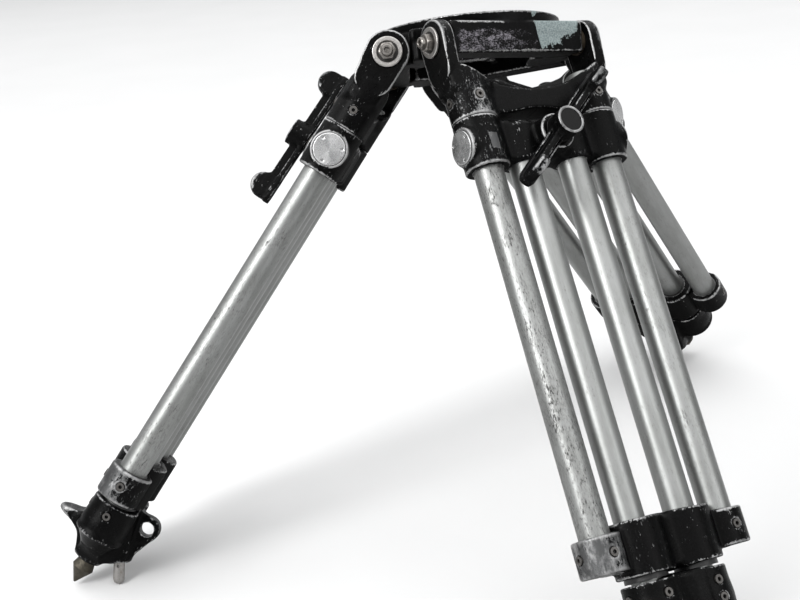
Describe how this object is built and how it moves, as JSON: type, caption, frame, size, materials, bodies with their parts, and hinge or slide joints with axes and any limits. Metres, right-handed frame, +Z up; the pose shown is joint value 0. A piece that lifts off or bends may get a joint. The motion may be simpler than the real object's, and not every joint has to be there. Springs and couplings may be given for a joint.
{
  "type": "camera tripod",
  "caption": "Short heavy-duty film-camera tripod: triangular cast crown, paired-tube sliding legs with wing-lever locks, spiked feet with eyes.",
  "frame": {"origin": "middle of the footprint, on the floor that the three spreader pins rest on", "axes": "+Z up, -Y towards the front leg's open side; the crown leans back from -Y by 18 degrees"},
  "size_m": [0.8926, 0.9124, 0.6187],
  "materials": {
    "black_casting": "cast aluminium, black stove enamel, chipped and rubbed bright at the edges",
    "tube_aluminium": "satin drawn tube with scratches and small dark pits",
    "turned_aluminium": "face-turned, fine circular lines",
    "steel": "bright zinc, slightly dulled",
    "spike_steel": "worn forged steel with brown rust film",
    "bronze": "plain bearing bronze",
    "bush_plastic": "matt nylon"
  },
  "bodies": {
    "crown": {"crown": "black_casting", "hinge_bolts": "steel", "hinge_bushes": "bronze", "hinge_washers": "steel", "hinge_nuts": "steel"},
    "left_upper_leg": {"left_yoke": "black_casting", "left_outer_tubes": "tube_aluminium", "left_guide_casting": "black_casting", "left_guide_bushes": "bush_plastic", "left_tube_screws": "steel"},
    "left_lower_leg": {"left_slider": "black_casting", "left_inner_tubes": "tube_aluminium", "left_inner_tube_screws": "steel", "left_brake_caps": "turned_aluminium", "left_foot_casting": "black_casting", "left_spike": "spike_steel", "left_spreader_pin": "steel"},
    "left_lock_lever": {"left_lock_spindle": "steel", "left_lever": "black_casting", "left_lever_cap": "black_casting"},
    "left_near_brake": {"left_brake_shoe_near": "bronze"},
    "left_far_brake": {"left_brake_shoe_far": "bronze"},
    "front_upper_leg": {"front_yoke": "black_casting", "front_outer_tubes": "tube_aluminium", "front_guide_casting": "black_casting", "front_guide_bushes": "bush_plastic", "front_tube_screws": "steel"},
    "front_lower_leg": {"front_slider": "black_casting", "front_inner_tubes": "tube_aluminium", "front_inner_tube_screws": "steel", "front_brake_caps": "turned_aluminium", "front_foot_casting": "black_casting", "front_spike": "spike_steel", "front_spreader_pin": "steel"},
    "front_lock_lever": {"front_lock_spindle": "steel", "front_lever": "black_casting", "front_lever_cap": "black_casting"},
    "front_near_brake": {"front_brake_shoe_near": "bronze"},
    "front_far_brake": {"front_brake_shoe_far": "bronze"},
    "back_upper_leg": {"back_yoke": "black_casting", "back_outer_tubes": "tube_aluminium", "back_guide_casting": "black_casting", "back_guide_bushes": "bush_plastic", "back_tube_screws": "steel"},
    "back_lower_leg": {"back_slider": "black_casting", "back_inner_tubes": "tube_aluminium", "back_inner_tube_screws": "steel", "back_brake_caps": "turned_aluminium", "back_foot_casting": "black_casting", "back_spike": "spike_steel", "back_spreader_pin": "steel"},
    "back_lock_lever": {"back_lock_spindle": "steel", "back_lever": "black_casting", "back_lever_cap": "black_casting"},
    "back_near_brake": {"back_brake_shoe_near": "bronze"},
    "back_far_brake": {"back_brake_shoe_far": "bronze"}
  },
  "joints": [
    {"name": "left_leg_swing", "type": "hinge", "parent": "crown", "child": "left_upper_leg", "pos_m": [-0.02842, 0.00917, 0.55206], "axis": [0.005, 0.9519, -0.3064], "range_deg": [-37.6, 27.4]},
    {"name": "left_leg_slide", "type": "slide", "parent": "left_upper_leg", "child": "left_lower_leg", "axis": [-0.5844, -0.2458, -0.7733], "range_m": [0, 0.36]},
    {"name": "left_lever_turn", "type": "hinge", "parent": "left_lower_leg", "child": "left_lock_lever", "pos_m": [-0.09943, -0.0207, 0.4581], "axis": [-0.8115, 0.183, 0.555], "range_deg": [0, 60]},
    {"name": "left_near_brake_slide", "type": "slide", "parent": "left_lower_leg", "child": "left_near_brake", "axis": [0.005, 0.9519, -0.3064], "range_m": [0, 0.0004]},
    {"name": "left_far_brake_slide", "type": "slide", "parent": "left_lower_leg", "child": "left_far_brake", "axis": [-0.005, -0.9519, 0.3064], "range_m": [0, 0.0004]},
    {"name": "front_leg_swing", "type": "hinge", "parent": "crown", "child": "front_upper_leg", "pos_m": [0.10716, -0.06491, 0.5805], "axis": [-0.8681, -0.4803, 0.1254], "range_deg": [-18.3, 46.7]},
    {"name": "front_leg_slide", "type": "slide", "parent": "front_upper_leg", "child": "front_lower_leg", "axis": [0.186, -0.549, -0.8149], "range_m": [0, 0.36]},
    {"name": "front_lever_turn", "type": "hinge", "parent": "front_lower_leg", "child": "front_lock_lever", "pos_m": [0.12976, -0.13161, 0.48149], "axis": [0.4602, -0.6841, 0.5659], "range_deg": [0, 60]},
    {"name": "front_near_brake_slide", "type": "slide", "parent": "front_lower_leg", "child": "front_near_brake", "axis": [-0.8681, -0.4803, 0.1254], "range_m": [0, 0.0004]},
    {"name": "front_far_brake_slide", "type": "slide", "parent": "front_lower_leg", "child": "front_far_brake", "axis": [0.8681, 0.4803, -0.1254], "range_m": [0, 0.0004]},
    {"name": "back_leg_swing", "type": "hinge", "parent": "crown", "child": "back_upper_leg", "pos_m": [0.10795, 0.08463, 0.53236], "axis": [0.863, -0.4716, 0.181], "range_deg": [-56.1, 8.9]},
    {"name": "back_leg_slide", "type": "slide", "parent": "back_upper_leg", "child": "back_lower_leg", "axis": [0.4363, 0.5154, -0.7375], "range_m": [0, 0.36]},
    {"name": "back_lever_turn", "type": "hinge", "parent": "back_lower_leg", "child": "back_lock_lever", "pos_m": [0.16096, 0.14725, 0.44275], "axis": [0.2545, 0.7155, 0.6506], "range_deg": [0, 60]},
    {"name": "back_near_brake_slide", "type": "slide", "parent": "back_lower_leg", "child": "back_near_brake", "axis": [0.863, -0.4716, 0.181], "range_m": [0, 0.0004]},
    {"name": "back_far_brake_slide", "type": "slide", "parent": "back_lower_leg", "child": "back_far_brake", "axis": [-0.863, 0.4716, -0.181], "range_m": [0, 0.0004]}
  ],
  "couplings": [
    {"joint": "left_near_brake_slide", "follows": "left_lever_turn", "m_per_rad": 0.00038},
    {"joint": "left_far_brake_slide", "follows": "left_lever_turn", "m_per_rad": 0.00038},
    {"joint": "front_near_brake_slide", "follows": "front_lever_turn", "m_per_rad": 0.00038},
    {"joint": "front_far_brake_slide", "follows": "front_lever_turn", "m_per_rad": 0.00038},
    {"joint": "back_near_brake_slide", "follows": "back_lever_turn", "m_per_rad": 0.00038},
    {"joint": "back_far_brake_slide", "follows": "back_lever_turn", "m_per_rad": 0.00038}
  ]
}
